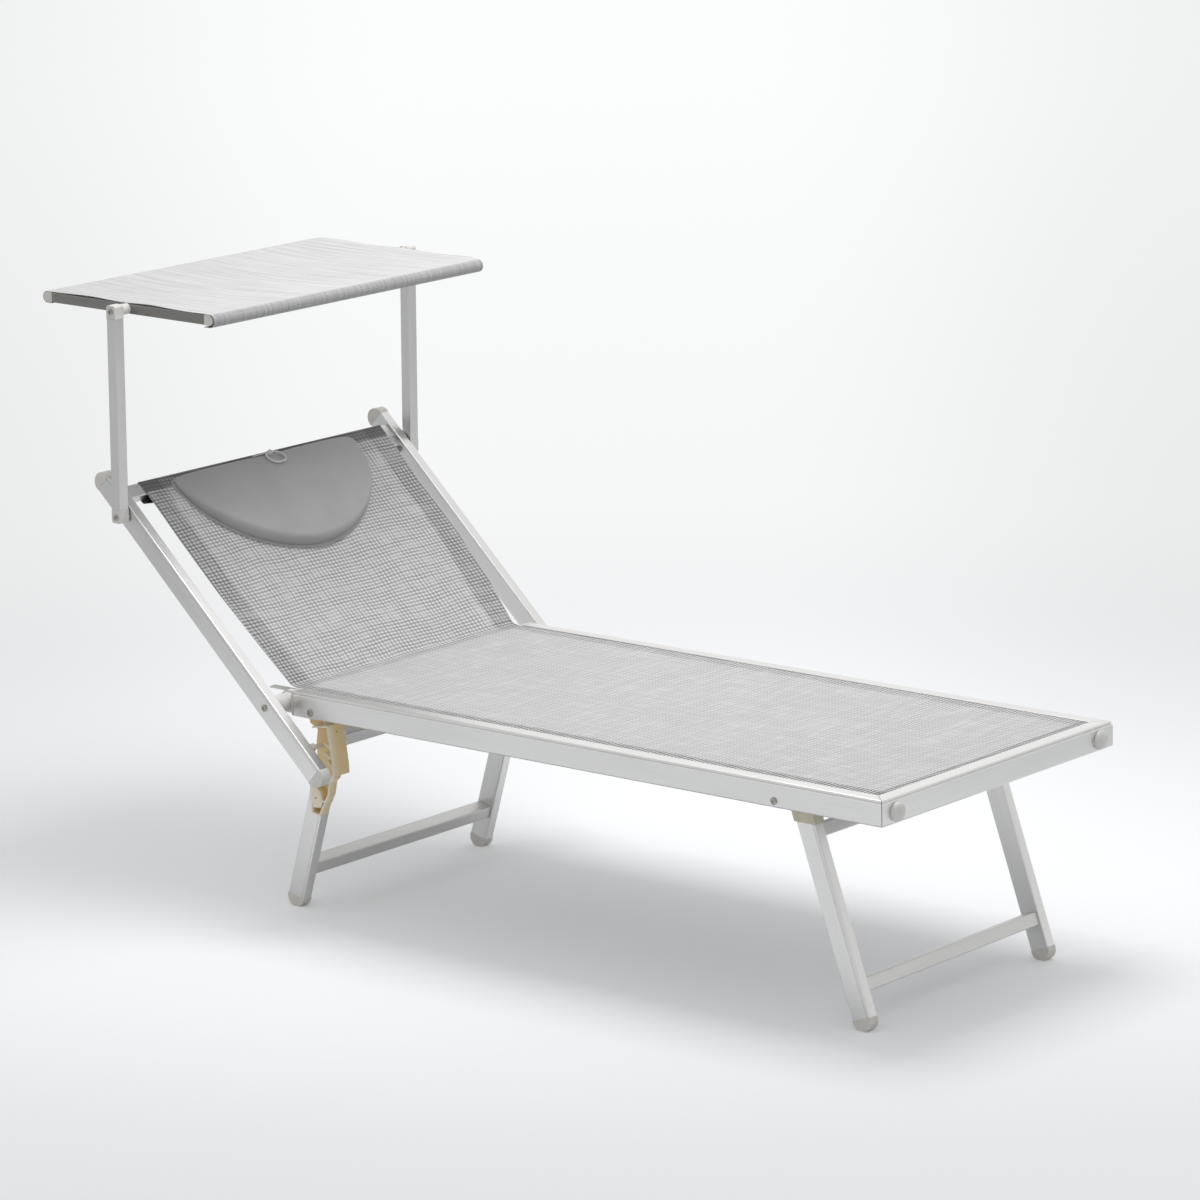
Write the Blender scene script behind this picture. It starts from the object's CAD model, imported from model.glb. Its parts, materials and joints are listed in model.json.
"""Sun lounger with canopy: its cloth, pillow and cord, and the finishes of its frame.

Everything is in metres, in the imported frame: +X to the foot, +Y to the left hand of someone lying
on it, +Z up. New pieces are grids of points worked out as whole arrays.
"""
import json
import math

import bpy
import numpy as np
from mathutils import Matrix, Vector


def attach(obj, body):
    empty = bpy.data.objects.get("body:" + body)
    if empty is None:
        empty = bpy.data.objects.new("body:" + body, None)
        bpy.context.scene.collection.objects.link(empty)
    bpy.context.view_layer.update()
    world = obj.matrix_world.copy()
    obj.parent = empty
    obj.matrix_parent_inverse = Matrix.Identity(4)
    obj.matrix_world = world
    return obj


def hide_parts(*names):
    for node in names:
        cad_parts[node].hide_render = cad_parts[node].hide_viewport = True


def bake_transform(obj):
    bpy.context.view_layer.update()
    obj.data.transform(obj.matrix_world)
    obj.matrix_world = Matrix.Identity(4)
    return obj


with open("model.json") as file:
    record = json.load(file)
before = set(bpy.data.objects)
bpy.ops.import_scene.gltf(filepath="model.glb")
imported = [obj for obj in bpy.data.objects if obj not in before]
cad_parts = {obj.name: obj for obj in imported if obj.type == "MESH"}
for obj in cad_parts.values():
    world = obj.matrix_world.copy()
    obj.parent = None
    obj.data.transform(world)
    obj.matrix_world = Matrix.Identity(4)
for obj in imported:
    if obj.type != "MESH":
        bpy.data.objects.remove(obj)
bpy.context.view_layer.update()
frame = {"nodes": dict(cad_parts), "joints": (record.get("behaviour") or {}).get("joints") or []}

SIDES = {"left": 1, "right": -1}
PER_METRE = 1000.0

# Joints of the frame, and how far the back and the canopy lean as photographed
joint_places = {joint["name"]: np.array(joint["pos_m"]) for joint in frame["joints"]}
PIVOT = joint_places["backrest_recline"]
CANOPY = joint_places["canopy_tilt"]
RECLINE = math.radians(43.5)
CANOPY_TILT = math.radians(0.7)

# Sling, from the recline pivot: heights of its upper face, ends, and reach to each side
SEAT_TOP = 0.0242
BACK_TOP = 0.0167
FOOT_SLOT = 1.388
SLOT_HALF = 0.326
FOLD_HALF = 0.3185
FOLD_SEAT = 0.022
FOLD_BACK = 0.026
BACK_REACH = (0.015, 0.120, 0.250, 0.500)
BACK_HALF = {"left": (0.3215, 0.342, 0.352, 0.357), "right": (0.3185, 0.325, 0.333, 0.333)}
CROSSBAR_FRONT = 0.5335
CROSSBAR_BOTTOM = -0.0067
SLING_THICK = 0.0006
HEM_WIDE = 0.049

# Net and stitches of the sling, spaced in millimetres
NET_ACROSS = 5.0
NET_ALONG = 3.8
STITCH_PITCH = 9.0

# Along the sling's cloth, from the foot: where the seat ends and where the hem at the head begins
SEAT_END = 1.355
TOP_HEM = 1.877

# Pillow, on the back
PILLOW_BASE = 0.0170
PILLOW_HIGH = 0.517
PILLOW_DEEP = 0.215
PILLOW_HALF = 0.2575
PILLOW_THICK = 0.0275
PILLOW_CROWN = 0.0082
PILLOW_MIDDLE = PILLOW_DEEP * 0.58

# Canopy cloth, from the canopy's middle; the last is from its hem at the head to that middle
CANOPY_BAR = 0.2134
CANOPY_OUTER = 0.0113
CLOTH_HALF = 0.383
RAIL_FREE = 0.369
CLOTH_THICK = 0.0008
CLOTH_MIDDLE = 0.2614

# Cord of the pull loop, and its thin tail
CORD_DIAMETER = 0.0045
TAIL_DIAMETER = 0.0024


# The camera


def place_camera():
    """The photograph's camera: its place and its axes, solved from the frame's parallel edges."""
    focal_pixels, photo_pixels, sensor = 5490.78, 1200, 36
    lens = bpy.data.cameras.new("camera")
    lens.sensor_width = sensor
    lens.lens = focal_pixels / photo_pixels * sensor
    lens.clip_end = 100
    camera = bpy.data.objects.new("camera", lens)
    right = Vector((0.769027, 0.638914, -0.019648))
    up = Vector((-0.126854, 0.182670, 0.974956))
    place = PIVOT + (6.929941, -7.678036, 2.473704)
    axes = Matrix((right, up, right.cross(up))).transposed()
    camera.matrix_world = Matrix.Translation(place) @ axes.to_4x4()
    bpy.context.scene.collection.objects.link(camera)
    bpy.context.scene.camera = camera


# Shader expressions


class Value:
    """A socket that varies over a surface. An expression on it adds Math nodes."""

    def __init__(self, finish, socket):
        self.finish = finish
        self.socket = socket

    def math(self, operation, *others):
        """One Math node on this value and the others."""
        inputs = dict(enumerate((self, *others)))
        return self.finish.node("ShaderNodeMath", {"operation": operation}, inputs)

    def __add__(self, other):
        return self.math("ADD", other)

    def __mul__(self, other):
        return self.math("MULTIPLY", other)

    def __sub__(self, other):
        return self.math("SUBTRACT", other)

    def __truediv__(self, other):
        return self.math("DIVIDE", other)

    def __rsub__(self, other):
        return self.finish.node("ShaderNodeMath", {"operation": "SUBTRACT"}, {0: other, 1: self})

    __radd__ = __add__
    __rmul__ = __mul__

    def size(self):
        """The value without its sign."""
        return self.math("ABSOLUTE")

    def most(self, other):
        """The greater of the two."""
        return self.math("MAXIMUM", other)

    def ramp(self, low, high, start=0.0, end=1.0):
        """Smooth step from start to end as the value goes from low to high."""
        return self.finish.node(
            "ShaderNodeMapRange",
            {"interpolation_type": "SMOOTHSTEP"},
            {"Value": self, "From Min": low, "From Max": high, "To Min": start, "To Max": end},
        )

    def off_centre(self, pitch):
        """How far the value is from the nearest multiple of the pitch, from 0 to 1 half way between."""
        share = (self / pitch + 0.5).math("FRACT")
        return (share - 0.5).size() * 2


class Nodes:
    """A node tree, cleared, and the expressions that build it."""

    def __init__(self, tree):
        self.tree = tree
        tree.nodes.clear()

    def node(self, kind, settings=None, values=None, output=0):
        """A node of that kind: its settings first, then the values or links of its sockets."""
        made = self.tree.nodes.new(kind)
        for name, setting in (settings or {}).items():
            setattr(made, name, setting)
        for name, value in (values or {}).items():
            self.feed(made.inputs[name], value)
        return Value(self, made.outputs[output])

    def feed(self, socket, value):
        """Link a varying value to the socket, or set a plain one on it."""
        if isinstance(value, Value):
            self.tree.links.new(value.socket, socket)
        else:
            socket.default_value = value

    def parts(self, source, count=3):
        """The first parts of a vector, each as a value."""
        split = "ShaderNodeSeparateXYZ"
        return [self.node(split, None, {0: source}, output=axis) for axis in range(count)]

    def point(self, x, y, z=0.0):
        """A vector, or a colour, of the three."""
        return self.node("ShaderNodeCombineXYZ", None, {0: x, 1: y, 2: z})

    def ray(self, kind):
        """1 for a ray of that kind and 0 for any other."""
        return self.node("ShaderNodeLightPath", output=f"Is {kind} Ray")

    def noise(self, x, y, z=0.0, detail=2.0, rough=0.5):
        """Noise from 0 to 1 at coordinates counted in its own grains."""
        where = self.point(x, y, z)
        values = {"Vector": where, "Scale": 1.0, "Detail": detail, "Roughness": rough}
        return self.node("ShaderNodeTexNoise", None, values)

    def blend(self, share, first, second):
        """The colour that is first at 0 and second at 1."""
        colours = (first, second)
        ends = [colour if isinstance(colour, Value) else (*colour, 1.0) for colour in colours]
        values = {"Factor": share, "A": ends[0], "B": ends[1]}
        return self.node("ShaderNodeMix", {"data_type": "RGBA"}, values, output="Result")

    def bump(self, height, strength, distance):
        """The normal of a surface that is raised by the height times the distance."""
        values = {"Height": height, "Strength": strength, "Distance": distance}
        return self.node("ShaderNodeBump", None, values)


class Finish(Nodes):
    """A material with one Principled shader. What is the same all over is set on its own sockets."""

    def __init__(self, name, **plain):
        self.material = bpy.data.materials.new(name)
        self.material.use_nodes = True
        super().__init__(self.material.node_tree)
        self.shader = self.tree.nodes.new("ShaderNodeBsdfPrincipled")
        self.out = self.tree.nodes.new("ShaderNodeOutputMaterial")
        self.tree.links.new(self.shader.outputs[0], self.out.inputs["Surface"])
        for socket, value in plain.items():
            self.shader.inputs[socket.replace("_", " ")].default_value = value

    def set(self, **fed):
        """Feed the shader's sockets, named with underscores for spaces."""
        for name, value in fed.items():
            self.feed(self.shader.inputs[name.replace("_", " ")], value)
        return self

    def place(self, turn=0.0):
        """The three Object coordinates, turned about Y so that a sloping piece lies along X."""
        source = self.node("ShaderNodeTexCoord", output="Object")
        values = {"Vector": source, "Rotation": (0.0, turn, 0.0)}
        return self.parts(self.node("ShaderNodeMapping", None, values))

    def weave(self):
        """The piece's own cloth coordinates, in metres: across and along."""
        return self.parts(self.node("ShaderNodeUVMap", {"uv_map": "cloth"}), 2)


def shade(colour, share):
    """The colour with each channel times the share."""
    return tuple(channel * share for channel in colour)


# Meshes from arrays


def make_mesh(name, points, quads, triangles=(), cloth=None, sharp=math.radians(50)):
    """An object whose mesh has these points and faces; cloth gives each point its two coordinates."""
    mesh = bpy.data.meshes.new(name)
    points = np.asarray(points, float).reshape(-1, 3)
    faces = np.asarray(quads, int).reshape(-1, 4).tolist()
    faces += np.asarray(triangles, int).reshape(-1, 3).tolist()
    mesh.from_pydata(points.tolist(), [], faces)
    if cloth is not None:
        corner = np.zeros(len(mesh.loops), np.int32)
        mesh.loops.foreach_get("vertex_index", corner)
        layer = mesh.uv_layers.new(name="cloth")
        layer.data.foreach_set("uv", np.asarray(cloth, np.float32).reshape(-1, 2)[corner].ravel())
    mesh.validate()
    mesh.shade_smooth()
    mesh.set_sharp_from_angle(angle=sharp)
    made = bpy.data.objects.new(name, mesh)
    bpy.context.scene.collection.objects.link(made)
    return made


def grid_quads(rows, columns, start=0, closed=False):
    """Faces of a grid of points, row by row; a closed one joins its last column to its first."""
    row = np.arange(rows - 1)[:, None]
    column = np.arange(columns if closed else columns - 1)[None, :]
    beside = (column + 1) % columns
    low = start + row * columns
    high = low + columns
    return np.stack((low + column, low + beside, high + beside, high + column), -1).reshape(-1, 4)


def fan(hub, around, beside):
    """Triangles from one hub point to each edge of a ring."""
    return np.stack((np.full(len(around), hub), around, beside), -1)


def reach_along(points):
    """The distance of each point from the first, along the line through them."""
    return np.concatenate(((0.0,), np.cumsum(np.linalg.norm(np.diff(points, axis=0), axis=1))))


def normals_of(points):
    """The unit normal at each point of a grid: along its rows crossed with along its columns."""
    rows = np.gradient(points, axis=0)
    columns = np.gradient(points, axis=1)
    across = np.cross(columns, rows)
    return across / np.linalg.norm(across, axis=-1, keepdims=True)


def sheet_mesh(name, points, cloth, thick):
    """A closed sheet of cloth: the grid, a second grid under it by the thickness, and a rim between."""
    rows, columns = points.shape[:2]
    count = rows * columns
    under = points - normals_of(points) * thick
    top = grid_quads(rows, columns)[:, ::-1]
    bottom = grid_quads(rows, columns, count)
    index = np.arange(count).reshape(rows, columns)
    rim = np.concatenate((index[0, :-1], index[:-1, -1], index[-1, :0:-1], index[:0:-1, 0]))
    beyond = np.roll(rim, -1)
    sides = np.stack((rim, beyond, beyond + count, rim + count), -1)
    everything = np.concatenate((points.reshape(-1, 3), under.reshape(-1, 3)))
    faces = np.concatenate((top, bottom, sides))
    return make_mesh(name, everything, faces, (), np.concatenate((cloth, cloth)))


def walk(corners, step):
    """Points about a step apart along the straight stretches through the corners."""
    corners = np.asarray(corners, float)
    reach = reach_along(corners)
    along = np.linspace(0.0, reach[-1], max(2, round(reach[-1] / step) + 1))
    axes = range(corners.shape[1])
    return np.stack([np.interp(along, reach, corners[:, axis]) for axis in axes], -1)


def turn_corner(centre, radius, start, end, count):
    """Points of an arc in a plane, from one angle to the other."""
    angle = np.linspace(start, end, count)
    return np.stack((centre[0] + radius * np.cos(angle), centre[1] + radius * np.sin(angle)), -1)


def smooth(share):
    """Smooth step of a share: three of its square less two of its cube."""
    return share * share * (3 - 2 * share)


def turned_on(points, joint, angle):
    """Points of a body that is turned about Y at its joint (x to the foot, y left, z up from it)."""
    x, y, z = np.moveaxis(np.asarray(points, float), -1, 0)
    along = x * math.cos(angle) + z * math.sin(angle)
    off = z * math.cos(angle) - x * math.sin(angle)
    return joint + np.stack((along, y, off), -1)


def on_back(points):
    """Points of the reclined back, from its pivot, with z square off its rails."""
    return turned_on(points, PIVOT, RECLINE)


def tube_mesh(name, path, radius, sides=10, closed=False):
    """A tube along a path: rings square to it, each turned on from the last without twisting, and a
    flat fan over each end. Its cloth coordinates are round it and along it, in metres."""
    path = np.asarray(path, float)
    ahead = np.roll(path, -1, 0) - np.roll(path, 1, 0) if closed else np.gradient(path, axis=0)
    ahead /= np.linalg.norm(ahead, axis=1, keepdims=True)
    side = np.cross(ahead[0], (0.31, 0.17, 0.93))
    frames = []
    for direction in ahead:
        side = side - direction * side.dot(direction)
        side = side / np.linalg.norm(side)
        frames.append((side, np.cross(direction, side)))
    angle = np.linspace(0, math.tau, sides, endpoint=False)
    ring = np.stack((np.cos(angle), np.sin(angle)), -1)
    points = path[:, None] + radius * np.einsum("sk,nkc->nsc", ring, np.array(frames))
    count = len(path)
    quads = grid_quads(count, sides, closed=True)
    along = reach_along(path)
    cloth = np.stack(np.broadcast_arrays(angle[None] * radius, along[:, None]), -1).reshape(-1, 2)
    everything = points.reshape(-1, 3)
    around = np.arange(sides)
    beside = (around + 1) % sides
    last = (count - 1) * sides
    fans = ()
    if closed:
        join = np.stack((last + around, last + beside, beside, around), -1)
        quads = np.concatenate((quads, join))
    else:
        everything = np.concatenate((everything, path[:1], path[-1:]))
        cloth = np.concatenate((cloth, ((0, along[0]), (0, along[-1]))))
        start, end = count * sides, count * sides + 1
        fans = np.concatenate((fan(start, beside, around), fan(end, last + around, last + beside)))
    return make_mesh(name, everything, quads, fans, cloth)


def smooth_path(points, count):
    """A smooth line through hand-placed points: a Catmull-Rom curve, sampled evenly by its number."""
    points = np.asarray(points, float)
    held = np.concatenate((2 * points[:1] - points[1:2], points, 2 * points[-1:] - points[-2:-1]))
    at = np.linspace(0, len(points) - 1, count)
    index = np.minimum(at.astype(int), len(points) - 2)
    t = (at - index)[:, None]
    a, b, c, d = (held[index + shift] for shift in range(4))
    bend = 2 * a - 5 * b + 4 * c - d
    twist = 3 * b - a - 3 * c + d
    return 0.5 * (2 * b + (c - a) * t + bend * t**2 + twist * t**3)


# The finishes


ALUMINIUM = (0.78, 0.775, 0.765)
BAR_ALUMINIUM = (0.68, 0.675, 0.665)
DARK_ALUMINIUM = (0.29, 0.285, 0.275)
WHITE = (0.80, 0.79, 0.76)
CREAM = (0.80, 0.73, 0.56)
OCHRE = (0.93, 0.71, 0.38)
CLEAN_CREAM = (0.96, 0.90, 0.75)
PEARL = (0.80, 0.775, 0.72)
STEEL = (0.42, 0.40, 0.37)
NET_LIGHT, NET_DARK = (0.80, 0.80, 0.80), (0.13, 0.13, 0.132)
AWNING_LIGHT, AWNING_DARK = (0.78, 0.78, 0.78), (0.58, 0.58, 0.585)
FOAM = (0.44, 0.44, 0.44)
CORD_WHITE = (0.90, 0.88, 0.86)


def drawn_metal(name, colour, turn=0.0, across=False, rough=0.34):
    """Satin extrusion: fine die lines along its length, and a slow change of gloss."""
    finish = Finish(name, Metallic=1.0)
    x, y, z = finish.place(turn)
    if across:
        x, y = y, x
    lines = finish.noise(x * 3, y * 900, z * 900, detail=3.0)
    slow = finish.noise(x * 4, y * 30, z * 30)
    tone = (lines * 0.5 + slow * 0.5).ramp(0.3, 0.7)
    return finish.set(
        Base_Color=finish.blend(tone, shade(colour, 0.95), shade(colour, 1.04)),
        Roughness=(lines * 0.10 + slow * 0.06 + (rough - 0.08)),
        Normal=finish.bump(lines, 0.05, 0.0004),
    ).material


def moulded(name, colour):
    """Moulded plastic: a fine eggshell grain and a slightly uneven tone."""
    finish = Finish(name, Specular_IOR_Level=0.45)
    x, y, z = finish.place()
    fine = finish.noise(x * 1500, y * 1500, z * 1500, detail=2.0)
    slow = finish.noise(x * 45, y * 45, z * 45, detail=3.0)
    return finish.set(
        Base_Color=finish.blend(slow.ramp(0.35, 0.68), shade(colour, 0.93), shade(colour, 1.03)),
        Roughness=slow * 0.12 + 0.36,
        Normal=finish.bump(fine, 0.12, 0.0002),
    ).material


def rack_plastic(name):
    """Aged cream plastic: clean at its outer edges, yellowed deep between the walls by the web."""
    finish = Finish(name, Specular_IOR_Level=0.45, Roughness=0.42)
    x, y, z = finish.place()
    slow = finish.noise(x * 45, y * 45, z * 45, detail=3.0)
    outward = (y.size() + slow * 0.006).ramp(0.328, 0.352)
    return finish.set(Base_Color=finish.blend(outward, OCHRE, CLEAN_CREAM)).material


def turned_steel(name):
    """Plated bolt: turning marks round it and a trace of wear."""
    finish = Finish(name, Metallic=1.0)
    x, y, z = finish.place()
    marks = finish.noise(x * 600, y * 3000, z * 600, detail=2.0)
    return finish.set(
        Base_Color=finish.blend(marks, shade(STEEL, 0.8), shade(STEEL, 1.15)),
        Roughness=marks * 0.16 + 0.22,
        Normal=finish.bump(marks, 0.08, 0.0002),
    ).material


def netting(name, light, dark):
    """Coated net of the sling: a fine line at each pitch and every second one dark, an open dot in
    the middle of each square, lines that wander and fade a little, streaks along the threads. On the
    seat the dots are nearly closed; stitches by the rails and the foot, the hem at the head and the
    side hems are darker."""
    finish = Finish(name, Specular_IOR_Level=0.3)
    u, v = finish.weave()
    seat = v.ramp(SEAT_END, SEAT_END + 0.025, 1.0, 0.0)
    u_mm, v_mm = u * PER_METRE, v * PER_METRE

    across = u_mm + (finish.noise(u * 7, v * 9, 1.3, detail=1.0) - 0.5) * 12
    along = v_mm + (finish.noise(u * 8, v * 6, 7.7, detail=1.0) - 0.5) * 14
    off_u, off_v = across.off_centre(NET_ACROSS), along.off_centre(NET_ALONG)
    hole = off_u.ramp(0.42, 0.66) * off_v.ramp(0.42, 0.66)
    fade_u = finish.noise(u * 70, v * 9, 3.1).ramp(0.35, 0.55, 0.62, 1.0)
    fade_v = finish.noise(u * 9, v * 70, 5.9).ramp(0.35, 0.55, 0.62, 1.0)
    dark_u = across.off_centre(2 * NET_ACROSS).ramp(0.12, 0.32, 1.0, 0.0) * fade_u
    dark_v = along.off_centre(2 * NET_ALONG).ramp(0.14, 0.40, 1.0, 0.0) * fade_v
    fine = off_u.ramp(0.16, 0.46, 1.0, 0.0).most(off_v.ramp(0.16, 0.46, 1.0, 0.0))
    grid = (fine * 0.25).most(dark_u).most(dark_v)
    cross_streak = finish.noise(u * 9, v * 300, 2.0, detail=3.0) - 0.5
    long_streak = finish.noise(u * 300, v * 7, 4.0, detail=3.0) - 0.5

    by_rail = u.size().ramp(0.2850, 0.2980) * v_mm.off_centre(STITCH_PITCH).ramp(0.25, 0.75)
    by_rail = by_rail * u.ramp(-0.2, 0.2, 1.0, 0.5)
    by_foot = v.ramp(0.020, 0.026, 1.0, 0.0) * u_mm.off_centre(STITCH_PITCH).ramp(0.25, 0.75)
    stitches = by_rail.most(by_foot) * seat
    doubled = v.ramp(TOP_HEM, TOP_HEM + 0.002)
    hem_right = (v.ramp(1.40, 1.65, -0.2690, -0.2840) - u).ramp(0.0, 0.001)
    hem_left = (u - v.ramp(1.40, 1.70, 0.2720, 0.3045)).ramp(0.0, 0.001)
    side_hem = (hem_right + hem_left) * (1 - seat)

    tone = grid * (0.74 - seat * 0.14) + cross_streak * 0.22 + long_streak * 0.10
    tone = tone + stitches * 0.75 + doubled * 0.6 + side_hem * 0.18
    height = (1 - off_u * off_u) + (1 - off_v * off_v)
    return finish.set(
        Base_Color=finish.blend(tone.ramp(-0.08, 1.1), light, dark),
        Roughness=0.55 + grid * 0.1,
        Normal=finish.bump(height, 0.4, 0.0005),
        Alpha=1 - hole * (0.65 - seat * 0.5 - doubled * 0.65),
    ).material


def woven(name, light, dark):
    """Closed awning cloth: a fine thread with no holes, streaked along the threads that run from bar to
    bar, and darker where it lies double round the bars."""
    pitch = 1.3
    finish = Finish(name, Specular_IOR_Level=0.25)
    u, v = finish.weave()
    off_u = (u * PER_METRE).off_centre(pitch)
    off_v = (v * PER_METRE).off_centre(pitch)
    long_streak = finish.noise(u * 160, v * 4, 4.0, detail=4.0, rough=0.6)
    fine_streak = finish.noise(u * 700, v * 8, 9.0, detail=2.0)
    cross_streak = finish.noise(u * 6, v * 500, 2.0, detail=3.0)
    tone = long_streak * 0.55 + fine_streak * 0.25 + cross_streak * 0.20
    height = (1 - off_u * off_u) + (1 - off_v * off_v) + tone
    streaks = tone.ramp(0.36, 0.64)
    single = finish.blend(streaks, dark, light)
    double = finish.blend(streaks, shade(dark, 0.62), shade(dark, 0.98))
    wrap = (v - CLOTH_MIDDLE).size().ramp(CANOPY_BAR, CANOPY_BAR + 0.010)
    return finish.set(
        Base_Color=finish.blend(wrap, single, double),
        Roughness=0.62 + tone * 0.15,
        Normal=finish.bump(height, 0.35, 0.0003),
    ).material


def skin(name, colour):
    """Soft foam skin of the pillow: a fine leathery grain under a satin surface."""
    finish = Finish(name, Specular_IOR_Level=0.4)
    x, y, z = finish.place()
    cells = finish.node(
        "ShaderNodeTexVoronoi",
        {"feature": "DISTANCE_TO_EDGE"},
        {"Vector": finish.point(x, y, z), "Scale": 900.0},
    )
    grain = finish.noise(x * 1400, y * 1400, z * 1400, detail=3.0)
    slow = finish.noise(x * 12, y * 12, z * 12)
    return finish.set(
        Base_Color=finish.blend(slow.ramp(0.35, 0.65), shade(colour, 0.97), shade(colour, 1.03)),
        Roughness=0.46 + grain * 0.12,
        Normal=finish.bump(cells.ramp(0.0, 0.25) * 0.6 + grain * 0.4, 0.16, 0.0003),
    ).material


def twine(name, colour, diameter):
    """Laid cord: three strands that wind once round it in a little more than its diameter."""
    strands, lay = 3, 1.1
    finish = Finish(name, Specular_IOR_Level=0.3)
    u, v = finish.weave()
    turns = u / (math.pi * diameter) * strands + v / (diameter * lay)
    strand = 1 - turns.off_centre(1.0)
    fibre = finish.noise(u * 4000, v * 900, 0.0, detail=2.0)
    return finish.set(
        Base_Color=finish.blend(strand * 0.8 + fibre * 0.2, shade(colour, 0.7), colour),
        Roughness=0.7 + fibre * 0.15,
        Normal=finish.bump(strand + fibre * 0.3, 0.7, 0.0006),
    ).material


# The sling: one cloth from the foot rail over the fold to the crossbar


def sling_line():
    """The sling's upper face seen from the side, from the pivot: the flat seat, a short bend at the
    fold, the back plane, and round the crossbar's front to its underside and up behind it."""
    cosine, sine = math.cos(RECLINE), math.sin(RECLINE)
    turn = np.array(((cosine, sine), (-sine, cosine)))
    start = np.array((FOLD_SEAT, SEAT_TOP))
    end = np.array((-FOLD_BACK, BACK_TOP)) @ turn.T
    middle = np.array((-0.0010, SEAT_TOP - 0.0006))
    share = np.linspace(0, 1, 12)[1:-1, None]
    seat = walk(((FOOT_SLOT, SEAT_TOP), (FOLD_SEAT, SEAT_TOP)), 0.009)
    fold = start * (1 - share) ** 2 + middle * 2 * share * (1 - share) + end * share**2

    corner, hang = 0.004, 0.0012
    front = -CROSSBAR_FRONT + corner
    under = CROSSBAR_BOTTOM - hang
    right_angle = math.pi / 2
    back = walk(((-FOLD_BACK, BACK_TOP), (front, BACK_TOP)), 0.008)
    bend = turn_corner((front, BACK_TOP - corner), corner + hang, right_angle, math.pi, 6)[1:]
    lower = (front, CROSSBAR_BOTTOM + corner)
    lower = turn_corner(lower, corner + hang, math.pi, 3 * right_angle, 6)
    flat = walk(((-CROSSBAR_FRONT + 0.010, under), (-0.500, under)), 0.008)
    rise = walk(((-0.496, -0.0055), (-0.4815, BACK_TOP - 0.0018)), 0.006)
    on_the_back = np.concatenate((back, bend, lower, flat, rise)) @ turn.T
    line = np.concatenate((seat, fold, on_the_back))
    return line, reach_along(line)


def sling_half(line, side):
    """The sling's reach to one side: in the slot along the seat, inside the hub at the fold, wider at
    the head, and there wider to the left, where the cloth hangs off centre."""
    x, z = line[:, 0], line[:, 1]
    up_back = -x * math.cos(RECLINE) + z * math.sin(RECLINE)
    seat = np.interp(x, (0.0235, 0.0275), (FOLD_HALF, SLOT_HALF))
    return np.where(x > 0.01, seat, np.interp(up_back, BACK_REACH, BACK_HALF[side]))


def seat_dip(x, y):
    """How far the seat hangs under its plane: most in the middle and none at the rails, the foot slot
    and the fold, with a faint ripple."""
    dip, ripple_high = 0.0042, 0.0006
    level = np.clip((x - 0.03) / 0.25, 0, 1) * np.clip((FOOT_SLOT - 0.01 - x) / 0.2, 0, 1)
    free = 1 - np.clip(np.abs(y) / FOLD_HALF, 0, 1) ** 2.4
    ripple = np.sin(x * 61 + 2.2 * np.sin(y * 7)) * 0.35 + np.sin(x * 23 + y * 9) * 0.5
    return smooth(level) * free * (dip + ripple_high * ripple)


def back_lift(up_back, y, share):
    """How far the back's cloth stands off its plane, inwards only: two slow waves that die out at the
    fold and at the head and are held flatter towards the sides, where the share is 1."""
    wave, small_wave, run = 0.0022, 0.0009, 0.12
    held = np.clip((up_back - 0.03) / run, 0, 1) * np.clip((0.49 - up_back) / run, 0, 1)
    loose = 1 - 0.55 * np.abs(share) ** 3
    swell = wave * np.sin(up_back * 17 + 1.1) * np.cos(y * 8.5 + 0.6)
    swell = swell + small_wave * np.sin(y * 31 + up_back * 12)
    return smooth(held) * loose * (swell - wave)


def make_sling(finish):
    """Rows of points across the line, closer together near the sides: they dip between the rails on
    the seat and ripple on the back."""
    line, along = sling_line()
    share = np.linspace(-1, 1, 85)
    share = np.sign(share) * (1 - (1 - np.abs(share)) ** 1.15)
    left, right = (sling_half(line, side)[:, None] for side in SIDES)
    y = np.where(share[None] > 0, left, right) * share[None]
    x, z = (np.repeat(line[:, axis, None], len(share), 1) for axis in range(2))
    up_back = -x * math.cos(RECLINE) + z * math.sin(RECLINE)
    off_back = x * math.sin(RECLINE) + z * math.cos(RECLINE)
    z = z - seat_dip(x, y)
    lift = np.where(off_back > BACK_TOP - 0.001, back_lift(up_back, y, share[None]), 0.0)
    x = x + lift * math.sin(RECLINE)
    z = z + lift * math.cos(RECLINE)
    points = np.stack((x + PIVOT[0], y, z + PIVOT[2]), -1)
    cloth = np.stack((y, np.repeat(along[:, None], len(share), 1)), -1).reshape(-1, 2)
    sling = sheet_mesh("sling", points, cloth, SLING_THICK)
    sling.data.materials.append(finish)
    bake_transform(sling)
    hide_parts("seat_sling", "back_sling")


def make_back_hem(side, finish):
    """The folded side of the back sling: a second layer under its edge, as wide as the hem."""
    s = walk(((0.024, 0.0), (0.530, 0.0)), 0.010)[:, :1]
    outer = np.interp(s, BACK_REACH, BACK_HALF[side]) - 0.0004
    reach = outer - HEM_WIDE * np.linspace(0, 1, 9)[None]
    y = reach * SIDES[side]
    off = BACK_TOP - 0.0010 + back_lift(s, y, reach / outer)
    points = on_back(np.stack((np.repeat(-s, y.shape[1], 1), y, off), -1))
    if side == "left":
        points = points[:, ::-1]
        y = y[:, ::-1]
    cloth = np.stack((y + 0.0013, np.repeat(s + 0.0011, y.shape[1], 1)), -1).reshape(-1, 2)
    hem = sheet_mesh(f"back_hem_{side}", points, cloth, SLING_THICK)
    hem.data.materials.append(finish)
    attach(hem, "backrest")


# The pillow


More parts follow.
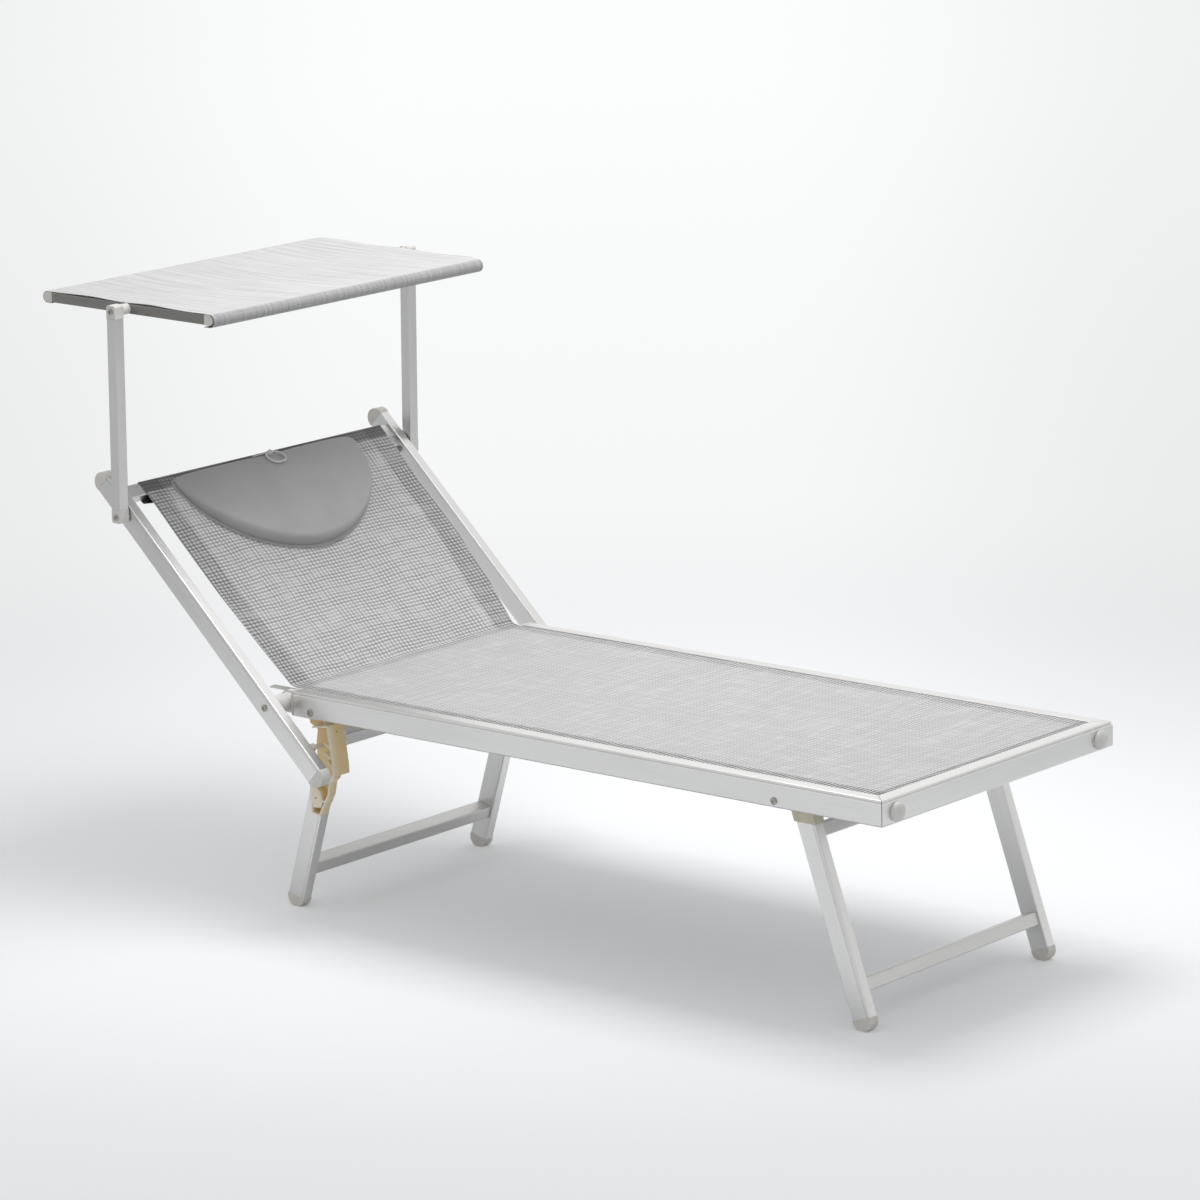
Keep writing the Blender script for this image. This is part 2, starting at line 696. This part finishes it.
def pillow_reach(angle):
    """How far the pillow's outline is from its middle in each direction: the nearer of the curve of a
    superellipse, found by halving, and the straight edge, rounded where they meet."""
    square, corner, furthest, far_off = 1.9, 16.0, 0.4, 9.0
    low, high = np.zeros_like(angle), np.full_like(angle, furthest)
    for _ in range(40):
        reach = (low + high) / 2
        down = np.maximum(PILLOW_DEEP - PILLOW_MIDDLE + reach * np.cos(angle), 0.0) / PILLOW_DEEP
        out = np.abs(reach * np.sin(angle)) / PILLOW_HALF
        inside = down**square + out**square < 1
        low, high = np.where(inside, reach, low), np.where(inside, high, reach)
    up = -np.cos(angle)
    edge = np.where(up > 1e-6, (PILLOW_DEEP - PILLOW_MIDDLE) / np.maximum(up, 1e-6), far_off)
    return (low**-corner + edge**-corner) ** (-1 / corner)


def pillow_profile():
    """From the base up, how far in from the outline and how high: a thin welt that stands out, the
    bulging side above it, and a round shoulder up to the thickness."""
    welt = [
        (0.004, 0.0), (-0.0050, 0.0), (-0.0058, 0.0007), (-0.0050, 0.0014),
        (0.0012, 0.0016), (0.0022, 0.0022),
    ]
    seam, rise, shoulder_low, shoulder_in = 0.0022, 0.0078, 0.012, 0.013
    bulge = [
        (seam - seam * math.sin(a), seam + rise * (1 - math.cos(a)))
        for a in np.linspace(0.15, math.pi / 2, 6)
    ]
    shoulder = [
        (shoulder_in * (1 - math.cos(a)), shoulder_low + (PILLOW_THICK - shoulder_low) * math.sin(a))
        for a in np.linspace(0.0, math.pi / 2, 12)
    ]
    profile = np.array([*welt, *bulge, *shoulder])
    return profile[:, :1], profile[:, 1:]


def make_pillow(finish):
    """Rings of the outline: up the profile of the side, then inwards over the crown. The straight edge
    is a little hollow, its corners are drawn towards the head, and the pillow is thinner there."""
    count = 180
    angle = np.linspace(0, math.tau, count, endpoint=False)
    reach = pillow_reach(angle)
    inset, side_height = pillow_profile()
    inward = np.linspace(0, 1, 16)[1:-1, None]
    crown = (reach[None] - inset[-1]) * (1 - inward)
    crown_height = PILLOW_THICK + PILLOW_CROWN * np.sin(inward * math.pi / 2)
    radius = np.concatenate((reach[None] - inset, crown))
    height = np.repeat(np.concatenate((side_height, crown_height)), count, 1)
    hollow = np.exp(-((angle - math.pi) / 0.5) ** 2)[None]
    down = PILLOW_DEEP - PILLOW_MIDDLE + radius * np.cos(angle)
    y = radius * np.sin(angle)
    wide = np.clip(np.abs(y) / PILLOW_HALF, 0, 1)
    x = -PILLOW_HIGH + down + 0.0025 * hollow * (radius / reach) ** 6
    x = x - 0.007 * wide**2 * np.clip(1 - down / 0.07, 0, 1)
    thin = 0.72 * (np.clip(1 - down / PILLOW_DEEP, 0, 1) * wide) ** 2
    points = np.stack((x, y, PILLOW_BASE + height * (1 - thin)), -1)
    middle = -PILLOW_HIGH + PILLOW_DEEP - PILLOW_MIDDLE
    centre_top = (middle, 0.0, PILLOW_BASE + PILLOW_THICK + PILLOW_CROWN)
    centre_base = (middle, 0.0, PILLOW_BASE)
    flat = on_back(np.concatenate((points.reshape(-1, 3), (centre_top, centre_base))))
    around = np.arange(count)
    beside = (around + 1) % count
    rows = len(radius)
    last = (rows - 1) * count
    top, base = len(flat) - 2, len(flat) - 1
    fans = np.concatenate((fan(top, last + around, last + beside), fan(base, beside, around)))
    pillow = make_mesh("pillow", flat, grid_quads(rows, count, closed=True), fans)
    pillow.data.materials.append(finish)
    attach(pillow, "backrest")
    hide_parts("head_pillow")


# The canopy cloth


def canopy_line():
    """The cloth seen from the side: a hem under the head bar, round it, over to the foot bar, loosely
    round that, and a hem under it."""
    loose, hem_start, hem_end, right_angle = 0.0128, 0.0125, 0.006, math.pi / 2
    low = CANOPY_OUTER - 2 * loose
    foot_centre = (CANOPY_BAR + 0.002, CANOPY_OUTER - loose)
    head = turn_corner((-CANOPY_BAR, 0.0), CANOPY_OUTER, 3 * right_angle, right_angle, 18)
    foot = turn_corner(foot_centre, loose, right_angle, -right_angle, 18)
    top = np.stack((np.linspace(-CANOPY_BAR, CANOPY_BAR, 72)[1:-1], np.full(70, CANOPY_OUTER)), -1)
    hem_head = ((-CANOPY_BAR + hem_start, -CANOPY_OUTER), (-CANOPY_BAR + hem_end, -CANOPY_OUTER))
    hem_foot = ((CANOPY_BAR - hem_end, low), (CANOPY_BAR - hem_start, low))
    return np.concatenate((hem_head, head, top, foot, hem_foot))


def make_canopy_cloth(finish):
    """Round the head bar and its corners, over the rails and the open middle, and round the foot bar,
    with a hem under each: a shallow sag and soft folds that fade out at the rails, and free sides
    that lift off the rails in a gentle wave."""
    sag_deep, fold_high, broad_high, wave_high, rim_start = 0.007, 0.00045, 0.0011, 0.0024, 0.340
    line = canopy_line()
    along = reach_along(line)
    share = np.linspace(-1, 1, 181)[None]
    x, z = (np.repeat(line[:, axis, None], share.shape[1], 1) for axis in range(2))
    y = np.repeat(share * CLOTH_HALF, len(line), 0)
    span = np.clip(1 - (x / CANOPY_BAR) ** 2, 0, 1) * (z > CANOPY_OUTER - 1e-6)
    free = np.clip(1 - (np.abs(y) / RAIL_FREE) ** 5, 0, 1)
    sag = sag_deep * span ** 0.8 * free
    folds = np.sin(y * 250 + 3 * np.sin(y * 11) + x * 6) * (0.5 + 0.5 * np.sin(y * 17 + 1))
    broad = np.cos(y * 34 + x * 5)
    crease = free * np.clip(span * 3, 0, 1) * (fold_high * folds + broad_high * broad)
    rim = np.clip((np.abs(y) - rim_start) / (CLOTH_HALF - rim_start), 0, 1) ** 1.5
    wave = 0.5 + 0.5 * np.sin(x * 31 + np.sign(share) * 0.9 + 0.8 * np.sin(x * 13))
    z = z - sag - crease + rim * np.clip(span * 5, 0, 1) * wave_high * wave
    points = turned_on(np.stack((x, y, z), -1), CANOPY, CANOPY_TILT)
    cloth = np.stack((y, np.repeat(along[:, None], share.shape[1], 1)), -1)
    sheet = sheet_mesh("canopy_sheet", points[::-1], cloth[::-1].reshape(-1, 2), CLOTH_THICK)
    sheet.data.materials.append(finish)
    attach(sheet, "canopy")
    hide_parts("canopy_cloth")


# The pull loop, from the recline pivot on the reclined back


LOOP_ROUTE = (
    (-0.5115, -0.0100, 0.0486), (-0.5110, -0.0140, 0.0480), (-0.5085, -0.0180, 0.0478),
    (-0.5045, -0.0205, 0.0482), (-0.4985, -0.0205, 0.0493), (-0.4915, -0.0175, 0.0504),
    (-0.4865, -0.0120, 0.0512), (-0.4840, -0.0045, 0.0515), (-0.4835, 0.0040, 0.0516),
    (-0.4845, 0.0120, 0.0514), (-0.4880, 0.0185, 0.0509), (-0.4935, 0.0220, 0.0501),
    (-0.5000, 0.0220, 0.0490), (-0.5065, 0.0180, 0.0481), (-0.5105, 0.0120, 0.0475),
    (-0.5125, 0.0050, 0.0474), (-0.5125, -0.0010, 0.0480), (-0.5115, -0.0040, 0.0486),
)
TAIL_ROUTE = (
    (-0.5115, -0.0070, 0.0492), (-0.5130, -0.0200, 0.0465),
    (-0.5140, -0.0350, 0.0445), (-0.5145, -0.0490, 0.0435),
)


def make_pull_loop(finish, thin_finish):
    """A loop of cord from the knot and back, the knot itself as a trefoil whose lobes go twice round,
    and the thin end along the pillow's edge."""
    path = on_back(smooth_path(LOOP_ROUTE, 110))
    loop = tube_mesh("pull_cord", path, CORD_DIAMETER / 2, 12)
    loop.data.materials.append(finish)
    turns = np.linspace(0, math.tau, 90, endpoint=False)
    lobe = 0.0029 + 0.0013 * np.cos(3 * turns)
    out, over, lift = lobe * np.cos(2 * turns), lobe * 1.25 * np.sin(2 * turns), 0.0016 * np.sin(3 * turns)
    trefoil = np.array(TAIL_ROUTE[0]) + np.stack((out, over, lift), -1)
    tie = tube_mesh("pull_knot", on_back(trefoil), 0.0021, 10, closed=True)
    tie.data.materials.append(finish)
    tail = tube_mesh("pull_tail", on_back(smooth_path(TAIL_ROUTE, 24)), TAIL_DIAMETER / 2, 8)
    tail.data.materials.append(thin_finish)
    for piece in (loop, tie, tail):
        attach(piece, "backrest")
    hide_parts("pull_loop")


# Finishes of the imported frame, and the stage


def dress(material, *nodes):
    """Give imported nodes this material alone."""
    for node in nodes:
        slots = frame["nodes"][node].data.materials
        slots.clear()
        slots.append(material)


def dress_frame():
    """Each tube gets die lines along its own length, each moulding and bolt its colour."""
    upright = math.radians(90)
    rear_splay, front_splay = math.radians(16.9), math.radians(19.2)
    level = drawn_metal("rail_metal", ALUMINIUM)
    crosswise = drawn_metal("crossbar_metal", ALUMINIUM, across=True)
    between_legs = drawn_metal("leg_bar_metal", BAR_ALUMINIUM, across=True, rough=0.46)
    reclined = drawn_metal("back_metal", ALUMINIUM, turn=-RECLINE)
    post = drawn_metal("post_metal", ALUMINIUM, turn=upright)
    rear_leg = drawn_metal("rear_leg_metal", ALUMINIUM, turn=upright - rear_splay)
    front_leg = drawn_metal("front_leg_metal", ALUMINIUM, turn=upright + front_splay)
    dark = drawn_metal("canopy_rail_metal", DARK_ALUMINIUM, rough=0.3)
    white = moulded("white_plastic", WHITE)
    cream = moulded("cream_plastic", CREAM)
    ochre = rack_plastic("rack_plastic")
    pearl = moulded("pearl_plastic", PEARL)
    steel = turned_steel("bolt_steel")
    dress(crosswise, "foot_rail", "back_crossbar")
    dress(between_legs, "rear_upper_bar", "rear_lower_bar", "front_upper_bar", "front_lower_bar")
    dress(pearl, "canopy_foot_bar", "canopy_head_bar")
    of_each_side = (
        (level, "side_rail"),
        (reclined, "back_rail"),
        (post, "canopy_post"),
        (rear_leg, "rear_leg"),
        (front_leg, "front_leg"),
        (dark, "canopy_side_rail"),
        (white, "recline_hub", "foot_bumper", "tail_pin", "tail_end_cap"),
        (white, "post_foot_knuckle", "post_head_knuckle"),
        (pearl, "head_end_cap", "rear_leg_foot", "front_leg_foot"),
        (cream, "rear_leg_knee", "front_leg_knee"),
        (ochre, "ratchet_rack"),
        (steel, "rear_leg_bolt", "front_leg_bolt", "recline_bolt", "post_foot_bolt", "canopy_bolt"),
    )
    for side in SIDES:
        for material, *nodes in of_each_side:
            dress(material, *(f"{node}_{side}" for node in nodes))


# Away from the camera along the floor, as x and y, and the floor's tone to neither camera nor metal
AWAY = (-0.643, 0.766)
FLOOR_TONE = 0.80


def depth_of(x, y):
    """How far a place is beyond the middle of the floor, or a direction points, away from the camera."""
    return y * AWAY[1] + x * AWAY[0]


def make_floor():
    """A wide pale floor. The camera sees it darker in front and at the sides, and its far part as a
    bright backdrop; metal mirrors it in rings round the lounger; to other light it is one even tone."""
    finish = Finish("floor", Roughness=0.9, Specular_IOR_Level=0.0)
    x, y, _ = finish.place()
    seen = finish.ray("Camera")
    mirrored = finish.ray("Glossy")
    away = (x * x + y * y).math("SQRT")
    depth = depth_of(x, y)
    beside = (x * AWAY[1] - y * AWAY[0]) / (depth + 10.0)
    edge = 1 - beside.size().ramp(0.03, 0.12, 0.0, 0.10) * depth.ramp(-1.5, 2.5)
    to_camera = depth.ramp(-1.7, 0.2, 0.81, 1.0) * edge * 1.20
    near_ring = away.ramp(0.8, 1.7, 0.86, 1.0)
    to_metal = near_ring * away.ramp(2.3, 3.1, 1.18, 0.56) + away.ramp(3.8, 5.2) * 0.3
    level = seen * (to_camera - FLOOR_TONE) + mirrored * (to_metal - FLOOR_TONE) + FLOOR_TONE
    finish.set(Base_Color=finish.point(level * 0.97, level * 0.985, level))
    bright = depth.ramp(2.0, 13.0, 0.93, 0.985) * edge
    backdrop = finish.point(bright * 0.99, bright * 0.995, bright)
    glow = finish.node("ShaderNodeEmission", None, {"Color": backdrop, "Strength": 1.0})
    far = away.ramp(1.2, 4.0, 0.1, 1.0)
    shader = Value(finish, finish.shader.outputs[0])
    mixed = finish.node("ShaderNodeMixShader", None, {0: far * seen, 1: shader, 2: glow})
    finish.feed(finish.out.inputs["Surface"], mixed)
    spread = 60.0
    corners = [(-spread, -spread, 0), (spread, -spread, 0), (spread, spread, 0), (-spread, spread, 0)]
    floor = make_mesh("floor", corners, [(0, 1, 2, 3)])
    floor.data.materials.append(finish.material)


def light_stage():
    """A lamp overhead and an even sky. The camera sees the sky white, and metal mirrors it darker on
    the side towards the camera."""
    scene = bpy.context.scene
    lamp = bpy.data.lights.new("overhead", "AREA")
    lamp.shape = "SQUARE"
    lamp.size = 1.45
    lamp.energy = 30
    light = bpy.data.objects.new("overhead", lamp)
    light.location = (0.10, 0.30, 3.0)
    scene.collection.objects.link(light)
    world = bpy.data.worlds.new("studio")
    scene.world = world
    world.use_nodes = True
    sky = Nodes(world.node_tree)
    x, y, z = sky.parts(sky.node("ShaderNodeTexCoord", output="Generated"))
    seen = sky.ray("Camera")
    mirrored = sky.ray("Glossy")
    through = sky.ray("Transmission")
    light_level = z.most(0.0) * 0.45 + 0.32
    behind = depth_of(x, y).ramp(-0.6, 0.9, 0.62, 1.0)
    plain = 1 - seen.most(mirrored).most(through)
    strength = light_level * plain + seen.most(through) + mirrored * behind
    values = {"Color": (1.0, 1.0, 1.0, 1.0), "Strength": strength}
    glow = sky.node("ShaderNodeBackground", None, values)
    out = world.node_tree.nodes.new("ShaderNodeOutputWorld")
    sky.feed(out.inputs["Surface"], glow)


bpy.context.scene.view_settings.view_transform = "Standard"
place_camera()
cord_finish = twine("cord", CORD_WHITE, CORD_DIAMETER)
tail_finish = twine("thin_cord", shade(CORD_WHITE, 0.9), TAIL_DIAMETER)
make_pull_loop(cord_finish, tail_finish)
net = netting("sling_net", NET_LIGHT, NET_DARK)
make_sling(net)
for side in SIDES:
    make_back_hem(side, net)
make_pillow(skin("pillow_skin", FOAM))
make_canopy_cloth(woven("canopy_cloth", AWNING_LIGHT, AWNING_DARK))
dress_frame()
make_floor()
light_stage()
